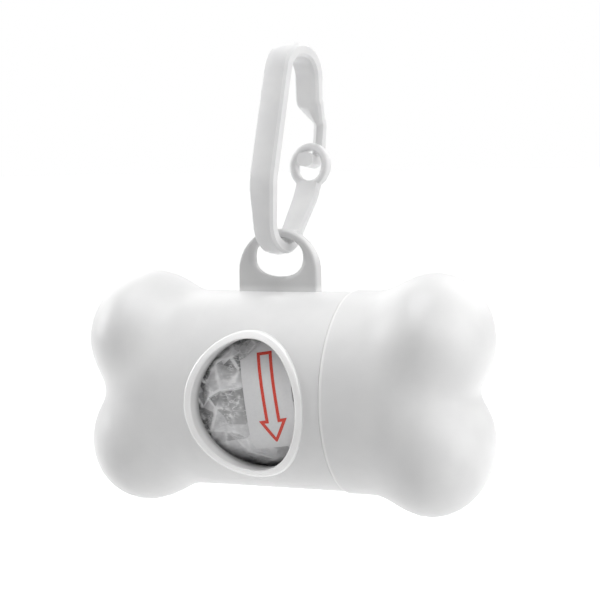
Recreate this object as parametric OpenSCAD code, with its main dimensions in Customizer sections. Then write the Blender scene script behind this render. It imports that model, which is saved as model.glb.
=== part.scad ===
// Bone-shaped dispenser for waste bags, hanging from a moulded snap clip.
// X runs along the barrel towards the cap, the window faces -Y, Z is up.
// The origin is the inside top of the clip's loop, where the clip hangs.
// Distances "from the axis" are measured from the barrel's own axis.

/* [Barrel] */
// Outside diameter of the barrel
barrel_d = 38; // [37:0.5:40]
// Wall of the barrel
barrel_wall = 3; // [2.8:0.1:3.2]
// Length over both bone ends
overall_l = 80; // [78:1:86]
// Distance of the cap's seam from the middle of the bone
seam_x = 13.3; // [13.2:0.1:14]

/* [Bone ends] */
// Height of each lobe's centre above or below the barrel's axis
lobe_rise = 9.9; // [9:0.1:11]
// Length of a lobe along the barrel
lobe_l = 21.2; // [19:0.2:23]
// Depth of a lobe from front to back
lobe_depth = 35; // [33:0.5:37]
// Height of a lobe
lobe_h = 25.8; // [24:0.2:28]
// How far a lobe melts into its neighbours
lobe_blend = 3.5; // [2:0.5:5]
// Rounding of the barrel's closed ends, under the lobes
end_round = 10; // [9:0.5:10]
// How far the barrel's closed ends stay short of the overall length
end_inset = 6.5; // [6:0.1:7]

/* [Closure] */
// How far the cap's collar stands out from the barrel
collar_step = 0.35; // [0.2:0.05:0.6]
// Wall of the cap's collar
collar_wall = 1.15; // [1:0.05:1.2]
// Length of the neck inside the cap
neck_l = 8; // [7:0.5:9]
// Play between the neck and the cap, on the radius
neck_play = 0.15; // [0.1:0.01:0.2]
// How far each lug stands up from its own wall
lug_h = 0.75; // [0.6:0.05:0.8]
// Thickness of a lug along the barrel
lug_t = 1.6; // [1.2:0.1:1.8]
// Arc covered by a lug
lug_arc = 60; // [45:5:65]
// Turn that frees the cap
cap_turn = 90; // [90:1:100]
// Gap at the seam between the barrel and the cap
seam_gap = 0.12; // [0.08:0.02:0.2]

/* [Window] */
// Width of the window
window_w = 20.9; // [18:0.1:21]
// Height of the window
window_h = 24.9; // [22:0.1:25]
// Distance of the window's centre from the middle of the bone, towards the closed end
window_x = 1.6; // [1:0.1:2]
// Distance of the window's centre below the axis
window_drop = 1.2; // [1:0.1:2]
// Width of the raised rim round the window
rim_w = 1.5; // [1:0.1:1.8]
// Height of the rim above the barrel
rim_h = 0.6; // [0.6:0.1:1]
// Rounding of the rim's edges
rim_round = 0.4; // [0.2:0.1:0.5]

/* [Eye] */
// Width of the eye plate
eye_w = 16.3; // [16:0.1:18]
// Thickness of the eye plate
eye_t = 3; // [2.6:0.1:3]
// Rounding of the eye plate's edges
eye_round = 0.5; // [0.2:0.1:0.8]
// Height of the eye plate above the barrel
eye_h = 12; // [11.8:0.1:12.4]
// Width of the slot in the eye
slot_w = 10.2; // [10:0.1:11]
// Height of the slot in the eye
slot_h = 7.4; // [7.4:0.1:7.8]
// Web of plastic over the slot
slot_web = 1.8; // [1.6:0.1:1.8]
// Rounding of the slot's edges
slot_round = 1.1; // [0.8:0.1:1.2]
// Distance of the eye from the middle of the bone, towards the closed end
eye_x = 1.9; // [1:0.1:3]

/* [Clip] */
// Width of the clip's bar, across the clip's plane
bar_w = 5.4; // [5:0.1:5.6]
// Width of the bow, where the bar passes through the eye
bow_w = 4.6; // [4.4:0.1:4.6]
// Thickness of the bow
bow_t = 2.4; // [2.2:0.1:2.4]
// Thickness of the bar along the spine
spine_t = 2.5; // [2.4:0.1:3]
// Height of the moulding's parting ridge, on both edges of the bar
ridge_h = 0.25; // [0.1:0.05:0.3]
// Bevel along the bar's corners
bar_bevel = 0.5; // [0.3:0.1:0.7]
// Radius of the bow's centre line at the bottom of the loop
bow_r = 4.8; // [4.8:0.1:5]
// Half the loop's width at its widest, to the centre line of the bar
loop_half_w = 6.2; // [6:0.1:6.6]
// Height of the loop's widest place above the bow's centre
wide_z = 7.1; // [6:0.1:8]
// Height of the loop's top above the bow's centre, to the centre line of the bar
loop_top = 33.5; // [32:0.5:36]
// Turn of the clip in the eye, about the vertical
clip_turn = 10.4; // [0:0.2:15]
// Lean of the clip to the back of the dispenser
clip_lean = 7.5; // [0:0.5:10]

/* [Gate] */
// Outside diameter of the gate's ring
ring_d = 8.9; // [8.8:0.1:9.2]
// Diameter of the hole in the ring
ring_hole_d = 5.9; // [5.8:0.1:6]
// Thickness of the ring
ring_t = 2.2; // [2:0.1:2.3]
// Rounding of the ring's edges
ring_round = 0.6; // [0.2:0.1:0.7]
// Thickness of the springy leaf under the ring
leaf_t = 1.6; // [1.4:0.1:1.8]
// Distance of the ring's centre from the bow's centre, across the loop
ring_out = 9.9; // [9.8:0.1:10]
// Height of the ring's centre above the bow's centre
ring_up = 12.1; // [11.9:0.05:12.3]

/* [Roll] */
// Play of the roll inside the barrel, on the radius
roll_play = 0.35; // [0.3:0.05:0.8]
// Play of the roll at each end of the barrel
roll_end_play = 3.5; // [3:0.1:6]
// Outside diameter of the cardboard core
core_d = 14; // [12:0.5:16]
// Wall of the cardboard core
core_wall = 1; // [0.6:0.1:1.5]
// Thickness of the crumpled outer bag where it stands loose off the roll
loose_t = 1.1; // [0.8:0.1:1.4]
// Thickness of the same bag where the paper band presses it down
pressed_t = 0.4; // [0.3:0.05:0.5]
// Width of the paper band round the roll
band_w = 10; // [9:0.5:11]
// Arc that the paper band covers
band_arc = 300; // [240:5:320]
// Angle of the band's end below the front of the roll
band_end = 38; // [30:1:45]

/* [Hidden] */

$fn = 96;
eps = 0.01;
over = 1;                                         // how far a cut runs past what it cuts

// Barrel and closure
barrel_r = barrel_d / 2;
bore_r = barrel_r - barrel_wall;
collar_r = barrel_r + collar_step;
collar_bore_r = collar_r - collar_wall;
lug_top_r = collar_bore_r - neck_play;            // over the neck's lugs
neck_r = lug_top_r - lug_h;
cap_lug_r = neck_r + neck_play;                   // inside of the cap's lugs
cap_x = seam_x + seam_gap;
lug_inset = 1.4;                                  // from the seam to the cap's lugs
cap_lug_x = seam_x + lug_inset;
lug_root = 0.3;                                   // how far the cap's lugs sink into the collar
neck_end_play = 0.4;
lug_gap = 0.2;
neck_lug_x = cap_lug_x + lug_t + lug_gap;
stop_arc = 5;
stop_play = 1.5;
lug_count = 2;

// Bone ends
lobe_x = overall_l / 2 - lobe_l / 2;
end_x = overall_l / 2 - end_inset;
end_wall = 2;
hollow_end_x = end_x - end_wall;
hollow_round = 5;
facet_step = 0.04;                                // keeps the bone end's facets outside the true barrel
knob_x = 14.2;                                    // where the bone end starts to leave the barrel
knob_origin_x = 24;                               // the rays of the end's dome start here
knob_sides = 72;
ring_steps = 7;                                   // rings between knob_x and knob_origin_x
dome_steps = 17;                                  // rings from there to the pole
reach = 26;                                       // longest ray

// Window
front_l = barrel_d - 5;                           // length of a cut that goes through the front wall alone

// Eye
slot_power = 2.3;                                 // 2 would be an ellipse
eye_top = barrel_r + eye_h;
slot_z = eye_top - slot_web - slot_h / 2;

// Clip, in its own plane: u runs to the back, v up from the bow's centre
bow_play = 0.6;                                   // between the bow and the top of the slot
bow_z = eye_top - slot_web - bow_play - bow_t / 2 + bow_r;
root_angle = -31;                                 // where the gate's leaf leaves the bow
root = bow_r * [cos(root_angle), sin(root_angle)];
hang_u = (loop_half_w + ring_out) / 2 - loop_half_w;
hang_v = loop_top - spine_t / 2;
hang = [-eye_x, 0, bow_z] + clip_dir(hang_u, hang_v);
spine_slope = 0.13;
waist_round = 10;
top_round = 5;
nose_round = 1.5;
nose_t = 2.2;
nose_v = 24.6;
nose_set = 1.7;                                   // from the nose to the ring's middle, across the loop
shoulder_h = 3.6;                                 // from the nose down to the straight neck
neck_w = 2.2;
neck_t = 2.4;
tip_w = 3.6;
tip_v = ring_up + 1.05;
tip_play = 0.5;                                   // between the ring and the neck behind it
tip_past = 1.1;                                   // how far the tip stands through the ring
tip_round = neck_t / 2 + 0.4;
neck_u = ring_out + ring_t / 2 + tip_play + neck_t / 2;
root_play = 0.1;
root_r = bow_t / 2 + ridge_h;
leaf_w = bar_w + 0.2;
leaf_root_t = leaf_t + 0.4;
leaf_knee = [ring_out - 1.1, ring_up - 6.4];      // where the leaf bends upright
leaf_end = [ring_out - 0.2, ring_up - ring_hole_d / 2 - 0.5];
leaf_round = 5;
gusset_w = 1;
gusset_h = 2.6;
gusset_out = 0.6;

// Roll, from the bore inwards
fit = 0.05;                                       // skin of air between the parts of the roll
loose_r = bore_r - roll_play;                     // over the loose outer bag
roll_r = loose_r - loose_t - fit;
roll_l = 2 * (hollow_end_x - roll_end_play);
core_r = core_d / 2;
pressed_r = roll_r + fit + pressed_t;
band_r = pressed_r + fit;                         // inside of the band
band_t = 0.2;
band_x = -3.6;                                    // left edge of the band, as seen in the window
band_from = 180 + band_end - band_arc;            // angles from the back of the roll, upwards
loose_gap = 0.3;
loose_far_gap = 2.5;                              // on the band's side towards the cap
loose_gap_arc = 1.5;
loose_inset = 1;
loose_x = loose_inset - roll_l / 2;

// ---------- Shape of the bone ends ----------

function smooth_min(a, b, k) =
    let (h = max(k - abs(a - b), 0) / k) min(a, b) - h * h * k / 4;

// Distance to a lobe centred at height z0, near its surface
function lobe_distance(p, z0) =
    let (q = p - [lobe_x, 0, z0],
         s = [lobe_l / 2, lobe_depth / 2, lobe_h / 2],
         k0 = norm([q.x / s.x, q.y / s.y, q.z / s.z]),
         k1 = norm([q.x / s.x / s.x, q.y / s.y / s.y, q.z / s.z / s.z]))
    k0 * (k0 - 1) / k1;

// Distance to the barrel, whose end is rounded
function barrel_distance(p, r) =
    let (side = norm([p.y, p.z]) - (r - end_round),
         end = p.x - (end_x - end_round))
    norm([max(side, 0), max(end, 0)]) + min(max(side, end), 0) - end_round;

function bone_distance(p, r) =
    smooth_min(barrel_distance(p, r),
               smooth_min(lobe_distance(p, lobe_rise), lobe_distance(p, -lobe_rise), lobe_blend),
               lobe_blend);

// Length of the ray from o along d to the bone's surface, by halving
function ray_length(o, d, r, lo, hi, n = 16) =
    n == 0 ? (lo + hi) / 2
    : let (mid = (lo + hi) / 2)
      bone_distance(o + mid * d, r) < 0 ? ray_length(o, d, r, mid, hi, n - 1)
                                        : ray_length(o, d, r, lo, mid, n - 1);

function ray_point(o, d, r) = o + ray_length(o, d, r, 1, reach) * d;

// A ring of points round the axis; tilt is 90 beside the axis and 0 at the pole
function bone_ring(x, tilt, r) =
    [for (i = [0 : knob_sides - 1])
        let (a = 360 * i / knob_sides)
        ray_point([x, 0, 0], [cos(tilt), sin(tilt) * cos(a), sin(tilt) * sin(a)], r)];

function flat_ring(x, r) =
    [for (i = [0 : knob_sides - 1]) let (a = 360 * i / knob_sides) [x, r * cos(a), r * sin(a)]];

// Solid bone end towards +X, over a barrel of radius r, closed by the ring first
module bone_end(r, first) {
    rings = concat(
        first,
        [for (i = [1 : ring_steps]) bone_ring(knob_x + (knob_origin_x - knob_x) * i / ring_steps, 90, r)],
        [for (i = [1 : dome_steps]) bone_ring(knob_origin_x, 90 * (1 - i / (dome_steps + 1)), r)]);
    n = len(rings);
    pole = ray_point([knob_origin_x, 0, 0], [1, 0, 0], r);
    points = concat([for (ring = rings) each ring], [pole]);
    polyhedron(points, concat(
        [[for (i = [0 : knob_sides - 1]) i]],
        [for (j = [0 : n - 2], i = [0 : knob_sides - 1])
            let (a = j * knob_sides + i, b = j * knob_sides + (i + 1) % knob_sides)
            each [[a, a + knob_sides, b + knob_sides], [a, b + knob_sides, b]]],
        [for (i = [0 : knob_sides - 1])
            [(n - 1) * knob_sides + i, n * knob_sides, (n - 1) * knob_sides + (i + 1) % knob_sides]]));
}

// Hollow for the roll: a straight bore from x0 whose closed end is rounded
module hollow(x0) {
    rotate([90, 0, 90]) rotate_extrude() {
        translate([0, x0]) square([bore_r, hollow_end_x - hollow_round - x0]);
        translate([0, hollow_end_x - hollow_round - eps]) square([bore_r - hollow_round, hollow_round + eps]);
        intersection() {
            translate([bore_r - hollow_round, hollow_end_x - hollow_round]) circle(hollow_round);
            translate([bore_r - hollow_round - eps, hollow_end_x - hollow_round - eps])
                square(hollow_round + 2 * eps);
        }
    }
}

// ---------- Parts ----------

// Tube round the barrel's axis from x0, of length l; angle limits it to an arc
module tube(x0, l, r_out, r_in, from = 0, angle = 360) {
    translate([x0, 0, 0]) rotate([90, 0, 90]) rotate([0, 0, from])
        rotate_extrude(angle = angle) translate([r_in, 0]) square([r_out - r_in, l]);
}

module rod(x0, l, r) {
    translate([x0, 0, 0]) rotate([0, 90, 0]) cylinder(h = l, r = r);
}

// Lugs stand opposite each other, centred above and below the axis
module lugs(x0, r_out, r_in) {
    for (k = [0 : lug_count - 1])
        tube(x0, lug_t, r_out, r_in, 90 - lug_arc / 2 + 360 * k / lug_count, lug_arc);
}

// Oval of half-axes a and b, a little squarer than an ellipse
function oval(a, b, n) =
    [for (i = [0 : n - 1])
        let (t = 360 * i / n, c = cos(t), s = sin(t))
        [a * sign(c) * pow(abs(c), 2 / slot_power), b * sign(s) * pow(abs(s), 2 / slot_power)]];

// Skin of a closed solid through rings of points that have the same number of points each
module loft(rings) {
    n = len(rings);
    m = len(rings[0]);
    polyhedron([for (ring = rings) each ring], concat(
        [[for (i = [m - 1 : -1 : 0]) i]],
        [for (j = [0 : n - 2], i = [0 : m - 1])
            let (a = j * m + i, b = j * m + (i + 1) % m)
            each [[a, b, b + m], [a, b + m, a + m]]],
        [[for (i = [0 : m - 1]) (n - 1) * m + i]]));
}

// Quarter-round steps of radius r, as [how far in from the side, how far up]
function edge_round(r, step = 22.5) = [for (t = [0 : step : 90]) [r * (1 - cos(t)), r * sin(t)]];

// The slot's cutter flares towards both faces of the plate, which rounds the slot's edges
module eye_slot() {
    half = eye_t / 2 - slot_round;
    arc = edge_round(slot_round, 15);
    front = [for (i = [len(arc) - 1 : -1 : 0]) [arc[i][0], -half - arc[i][1]]];
    back = [for (e = arc) [e[0], half + e[1]]];
    loft([for (e = concat([[slot_round, -eye_t]], front, back, [[slot_round, eye_t]]))
        [for (p = oval(slot_w / 2 + e[0], slot_h / 2 + e[0], 48)) [p[0], e[1], p[1]]]]);
}

// Outline of the eye plate, drawn in by e from its edges, but not at its foot inside the barrel
function eye_outline(e) =
    let (r = eye_w / 2, foot = barrel_r - barrel_wall / 2)
    concat([[r - e, foot]],
           [for (t = [0 : 7.5 : 180]) [(r - e) * cos(t), eye_top - r + (r - e) * sin(t)]],
           [[e - r, foot]]);

module eye() {
    arc = edge_round(eye_round);
    half = eye_t / 2 - eye_round;
    front = [for (i = [len(arc) - 1 : -1 : 0]) [arc[i][0], -half - arc[i][1]]];
    back = [for (e = arc) [e[0], half + e[1]]];
    translate([-eye_x, 0, 0]) difference() {
        loft([for (e = concat(front, back)) [for (p = eye_outline(e[0])) [p[0], e[1], p[1]]]]);
        translate([0, 0, slot_z]) eye_slot();
    }
}

// Ring of points round the window's wall, e outside it and h above the barrel's surface
window_steps = 72;
function window_ring(e, h) =
    [for (i = [0 : window_steps - 1])
        let (a = 360 * (i + 0.5) / window_steps,
             x = (window_w / 2 + e) * cos(a),
             z = (window_h / 2 + e) * sin(a) - window_drop)
        [x - window_x, -sqrt(pow(barrel_r + h, 2) - z * z), z]];

// Raised band round the window, with a rounded outer edge
module window_rim() {
    sunk = barrel_wall / 2;
    outside = [for (e = edge_round(rim_round)) window_ring(rim_w - e[0], rim_h - rim_round + e[1])];
    inside = [window_ring(-over, rim_h), window_ring(-over, -sunk)];
    rings = concat([window_ring(rim_w, -sunk)], outside, inside);
    n = len(rings);
    m = window_steps;
    polyhedron([for (ring = rings) each ring],
        [for (j = [0 : n - 1], i = [0 : m - 1])
            let (a = j * m + i, b = j * m + (i + 1) % m, c = (j + 1) % n * m + i,
                 d = (j + 1) % n * m + (i + 1) % m)
            each [[a, d, b], [a, c, d]]]);
}

// The window's cutter, from beyond the rim, whose inner edge it rounds, into the bore
module window_cutter() {
    arc = edge_round(rim_round);
    function flat(e, y) = [for (p = window_ring(e, 0)) [p[0], y, p[2]]];
    loft(concat([flat(rim_round, -barrel_r - rim_h - over)],
                [for (i = [len(arc) - 1 : -1 : 0]) window_ring(arc[i][0], rim_h - rim_round + arc[i][1])],
                [flat(0, front_l - barrel_d)]));
}

module shell() {
    start = [flat_ring(knob_x - 1, barrel_r + facet_step), flat_ring(knob_x, barrel_r + facet_step)];
    color("white") in_frame() difference() {
        union() {
            mirror([1, 0, 0]) bone_end(barrel_r + facet_step, start);
            rod(-knob_origin_x, knob_origin_x + seam_x, barrel_r);
            rod(0, seam_x + neck_l, neck_r);
            eye();
            window_rim();
            lugs(neck_lug_x, lug_top_r, neck_r - eps);
            for (k = [0 : lug_count - 1]) {
                lug_start = 90 - lug_arc / 2 + 360 * k / lug_count;
                for (a = [lug_start - stop_play - stop_arc, lug_start + lug_arc + cap_turn + stop_play])
                    tube(cap_lug_x, lug_t + lug_gap, lug_top_r, neck_r - eps, a, stop_arc);
            }
        }
        mirror([1, 0, 0]) hollow(-seam_x - neck_l - over);
        window_cutter();
    }
}

module cap() {
    bevel = 0.2;
    start = [flat_ring(cap_x, collar_r - bevel),
             flat_ring(cap_x + bevel, collar_r),
             flat_ring(knob_x, collar_r)];
    color("white") in_frame() {
        difference() {
            bone_end(collar_r, start);
            rod(cap_x - over, seam_x + neck_l + neck_end_play - cap_x + over, collar_bore_r);
            hollow(seam_x + neck_l - over);
        }
        lugs(cap_lug_x, collar_bore_r + lug_root, cap_lug_r);
    }
}

// ---------- Clip ----------

// A clip point [u, v] as a place beside the bow's centre
function clip_dir(u, v) =
    let (back = u * cos(clip_lean) + v * sin(clip_lean),
         up = v * cos(clip_lean) - u * sin(clip_lean))
    [back * sin(clip_turn), back * cos(clip_turn), up];

// Clip parts are drawn with u along Y and v along Z, and X across the clip
module on_clip() {
    in_frame() translate([-eye_x, 0, bow_z]) rotate([0, 0, -clip_turn]) rotate([-clip_lean, 0, 0]) children();
}

// The bar's path is a list of corners [u, v, corner radius, bar width, bar thickness].
// Each corner becomes the stations of its arc, as [u, v, direction, width, thickness].
function heading(a, b) = atan2(b[1] - a[1], b[0] - a[0]);
function turn_between(a, b) = let (t = b - a) t > 180 ? t - 360 : t < -180 ? t + 360 : t;
function corner_stations(a, c, b) =
    let (h0 = heading(a, c), turn = turn_between(h0, heading(c, b)), side = sign(turn),
         back = c[2] * tan(abs(turn) / 2),
         centre = [c[0], c[1]] - back * [cos(h0), sin(h0)] + side * c[2] * [-sin(h0), cos(h0)],
         steps = max(1, ceil(abs(turn) / 12)))
    [for (i = [0 : steps])
        let (h = h0 + turn * i / steps, p = centre + side * c[2] * [sin(h), -cos(h)])
        [p[0], p[1], h, c[3], c[4]]];
function stations(path) =
    let (n = len(path), last = path[n - 1])
    concat([[path[0][0], path[0][1], heading(path[0], path[1]), path[0][3], path[0][4]]],
           [for (i = [1 : n - 2]) each corner_stations(path[i - 1], path[i], path[i + 1])],
           [[last[0], last[1], heading(path[n - 2], last), last[3], last[4]]]);

// Cross-section of the bar: [across, out from the centre line], a ridge on each edge
function bar_section(w, t) =
    let (x = w / 2, y = t / 2, b = bar_bevel)
    [[x, y - b], [x - b, y], [0, y + ridge_h], [b - x, y], [-x, y - b],
     [-x, b - y], [b - x, -y], [0, -y - ridge_h], [x - b, -y], [x, b - y]];

// The bow's arc, from the gate's root down and round to where it meets the line to the widest place
wide = [-loop_half_w, wide_z];
bow_end_angle = atan2(wide[1], wide[0]) + acos(bow_r / norm(wide)) - 360;
bow_stations =
    [for (i = [0 : 14])
        let (a = root_angle + (bow_end_angle - root_angle) * i / 14)
        [bow_r * cos(a), bow_r * sin(a), a - 90, bow_w, bow_t]];

module bar(line) {
    loft([for (s = line)
        [for (q = bar_section(s[3], s[4])) [q[0], s[0] - q[1] * sin(s[2]), s[1] + q[1] * cos(s[2])]]]);
}

// Web that stiffens the corner between the leaf and the ring
module gusset() {
    foot = ring_up - ring_d / 2;
    front = ring_out - ring_t / 2;
    translate([-gusset_w / 2, 0, 0]) rotate([90, 0, 90]) linear_extrude(gusset_w)
        polygon([[leaf_knee[0], foot - gusset_h], [ring_out, foot], [ring_out, foot + gusset_out],
                 [front, foot + gusset_out], [front - gusset_out, foot - gusset_out]]);
}

// Ring whose section is a rectangle with round corners
module ring() {
    half_w = (ring_d - ring_hole_d) / 4;
    corners = [[1, 1, 0], [-1, 1, 90], [-1, -1, 180], [1, -1, 270]];
    middle = [(ring_d + ring_hole_d) / 4, 0];
    translate([0, ring_out, ring_up]) rotate([90, 0, 0]) rotate_extrude()
        polygon([for (c = corners, t = [0 : 22.5 : 90])
            middle + [c[0] * (half_w - ring_round), c[1] * (ring_t / 2 - ring_round)]
                   + ring_round * [cos(c[2] + t), sin(c[2] + t)]]);
}

// Short round pin across the clip at the leaf's root
module root_round(r, w) {
    translate([-w / 2, root[0], root[1]]) rotate([0, 90, 0]) cylinder(h = w, r = r, $fn = 48);
}

module clip() {
    bow_end = bow_stations[len(bow_stations) - 1];
    spine_top = loop_half_w - spine_slope * (loop_top - wide_z);
    nose_u = ring_out - nose_set;
    nose_top = nose_u - spine_slope * (loop_top - nose_v);
    path = [
        [bow_end[0], bow_end[1], 0, bow_w, bow_t],
        [wide[0], wide[1], waist_round, bar_w, spine_t],
        [-spine_top, loop_top, top_round, bar_w, spine_t],
        [nose_top, loop_top, top_round, bar_w, spine_t],
        [nose_u, nose_v, nose_round, bar_w, nose_t],
        [neck_u, nose_v - shoulder_h, nose_round, neck_w, nose_t],
        [neck_u, tip_v, tip_round, neck_w, neck_t],
        [ring_out - ring_t / 2 - tip_past, tip_v, 0, tip_w, neck_t]];
    line = stations(path);
    color("white") on_clip() difference() {
        bar(concat(bow_stations, [for (i = [1 : len(line) - 1]) line[i]]));
        root_round(root_r + root_play, bar_w + over);
    }
}

module gate() {
    path = [
        [root[0], root[1], 0, bow_w, leaf_root_t],
        [leaf_knee[0], leaf_knee[1], leaf_round, leaf_w, leaf_t],
        [leaf_end[0], leaf_end[1], 0, leaf_w, leaf_t]];
    color("white") on_clip() {
        bar(stations(path));
        root_round(root_r, bow_w - 2 * bar_bevel);
        gusset();
        ring();
    }
}

// ---------- Roll of bags ----------

module roll_core() {
    color("tan") in_frame() tube(-roll_l / 2, roll_l, core_r, core_r - core_wall);
}

module bag_roll() {
    color("gainsboro") in_frame() tube(-roll_l / 2, roll_l, roll_r, core_r + fit);
}

module paper_band() {
    color("whitesmoke") in_frame() tube(band_x, band_w, band_r + band_t, band_r, band_from, band_arc);
}

// The outermost bag: pressed down under the band, loose beside it and between the band's ends
module loose_bag() {
    sunk = pressed_r - pressed_t / 2;
    far_x = band_x + band_w + loose_far_gap;
    color("lightgray") in_frame() {
        tube(loose_x, -2 * loose_x, pressed_r, roll_r + fit);
        tube(loose_x, band_x - loose_gap - loose_x, loose_r, sunk);
        tube(far_x, -loose_x - far_x, loose_r, sunk);
        tube(band_x - loose_gap - eps, far_x - band_x + loose_gap + 2 * eps, loose_r, sunk,
             band_from + band_arc + loose_gap_arc, 360 - band_arc - 2 * loose_gap_arc);
    }
}

// Moves a part from the barrel's axis to the frame whose origin is the hanging point
module in_frame() {
    translate(-hang) children();
}

shell();
cap();
clip();
gate();
roll_core();
bag_roll();
paper_band();
loose_bag();
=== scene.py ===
"""Looks of a bone-shaped dispenser for waste bags that hangs from a moulded snap clip.

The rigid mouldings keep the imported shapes: each is a merged, smoothly shaded copy of its node. The
roll's paper band and its crumpled outer bag are modelled here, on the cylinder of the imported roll.
"""

import logging
import math
from dataclasses import dataclass, field
from enum import Enum

import bpy
import numpy as np
from mathutils import Matrix, Vector
from mathutils.geometry import delaunay_2d_cdt


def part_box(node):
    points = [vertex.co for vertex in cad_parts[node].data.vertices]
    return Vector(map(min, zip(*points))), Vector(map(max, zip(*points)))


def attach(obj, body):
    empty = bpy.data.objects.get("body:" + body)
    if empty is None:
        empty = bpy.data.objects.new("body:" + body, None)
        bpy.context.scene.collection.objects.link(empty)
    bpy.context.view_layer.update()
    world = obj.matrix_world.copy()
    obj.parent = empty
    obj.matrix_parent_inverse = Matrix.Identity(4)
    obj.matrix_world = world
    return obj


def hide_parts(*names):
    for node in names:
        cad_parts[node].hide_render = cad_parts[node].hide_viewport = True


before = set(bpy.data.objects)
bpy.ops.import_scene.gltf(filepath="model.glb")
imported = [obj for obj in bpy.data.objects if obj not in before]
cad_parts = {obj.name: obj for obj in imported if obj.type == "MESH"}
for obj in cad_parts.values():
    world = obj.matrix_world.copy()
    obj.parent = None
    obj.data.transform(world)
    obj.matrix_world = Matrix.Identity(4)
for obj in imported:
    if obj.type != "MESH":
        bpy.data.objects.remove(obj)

MM = 0.001
ROUND = 15.0 * MM  # radius at which distances round the roll are counted
BARREL = 19.0 * MM  # outside radius of the barrel
MIDDLE = (0.3, 0.7)  # levels of a noise between which two colours blend
log = logging.getLogger("dispenser")


class Body(Enum):
    """The bodies that the pieces ride on."""

    SHELL = "shell"
    CAP = "cap"
    CLIP = "clip"
    GATE = "gate"
    ROLL = "roll"


class Slot(Enum):
    """The record's material slots, named for the new pieces; no piece is given one here."""

    HOUSING = "white_plastic"
    CLIP = "clip_plastic"
    PAPER = "paper"
    FILM = "bag_film"


# ---------- Shader maths ----------


class Value:
    """A number or colour that changes over a surface: one output socket of a graph."""

    def __init__(self, graph: "Graph", socket: bpy.types.NodeSocket) -> None:
        """Keeps the output socket that carries the value, and the graph that new nodes go into."""
        self.graph = graph
        self.socket = socket

    def _math(self, operation: str, *operands: "Value | float") -> "Value":
        """The result of one Math node, for Blender's name of the operation and its inputs in order."""
        return self.graph.node("ShaderNodeMath", {"operation": operation}, dict(enumerate(operands)))

    def __add__(self, other: "Value | float") -> "Value":
        """Sum."""
        return self._math("ADD", self, other)

    def __radd__(self, other: float) -> "Value":
        """Sum, with the number first."""
        return self._math("ADD", other, self)

    def __sub__(self, other: "Value | float") -> "Value":
        """Difference."""
        return self._math("SUBTRACT", self, other)

    def __rsub__(self, other: float) -> "Value":
        """Difference, with the number first."""
        return self._math("SUBTRACT", other, self)

    def __mul__(self, other: "Value | float") -> "Value":
        """Product."""
        return self._math("MULTIPLY", self, other)

    def __rmul__(self, other: float) -> "Value":
        """Product, with the number first."""
        return self._math("MULTIPLY", other, self)

    def power(self, exponent: float) -> "Value":
        """This value raised to a power."""
        return self._math("POWER", self, exponent)

    def absolute(self) -> "Value":
        """This value without its sign."""
        return self._math("ABSOLUTE", self)

    def clamp(self) -> "Value":
        """This value, held between 0 and 1."""
        return self.graph.node("ShaderNodeClamp", {}, {"Value": self})

    def between(self, low: float, high: float) -> "Value":
        """0 below low, 1 above high and a smooth step from one to the other."""
        return self.graph.node("ShaderNodeMapRange", {"interpolation_type": "SMOOTHSTEP"},
                               {"Value": self, "From Min": low, "From Max": high})

    def past(self, edge: float, start: float, end: float) -> "Value":
        """A smooth step from 0 to 1 that starts and ends at these distances past an edge."""
        return self.between(edge + start, edge + end)


class Graph:
    """The nodes of a material or a world."""

    def __init__(self, tree: bpy.types.NodeTree) -> None:
        """Keeps the material's or the world's node tree."""
        self.tree = tree

    def node(self, kind: str, settings: dict, inputs: dict, output: "int | str" = 0) -> Value:
        """Adds a node of any type.

        Args:
            kind: The node's type.
            settings: Its properties, set first.
            inputs: Values or links for its sockets, by name or number.
            output: Which output to return.

        Returns:
            The chosen output.
        """
        made = self.tree.nodes.new(kind)
        for name, value in settings.items():
            setattr(made, name, value)
        for name, value in inputs.items():
            self.feed(made.inputs[name], value)
        return Value(self, made.outputs[output])

    def feed(self, socket: bpy.types.NodeSocket, value: object) -> None:
        """Links a value to a socket, or sets the socket's own number or colour.

        Args:
            socket: The input socket.
            value: A value of this graph, a number or a colour.
        """
        if isinstance(value, Value):
            self.tree.links.new(value.socket, socket)
        else:
            socket.default_value = value

    def seen(self) -> Value:
        """Tells what is looked at, straight, mirrored or through glass, from the light it gives.

        Returns:
            1 for what is looked at, and 0 for the light.
        """
        kinds = ("Is Camera Ray", "Is Glossy Ray", "Is Transmission Ray")
        straight, mirrored, through = (self.node("ShaderNodeLightPath", {}, {}, kind) for kind in kinds)
        return straight + mirrored + through


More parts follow.
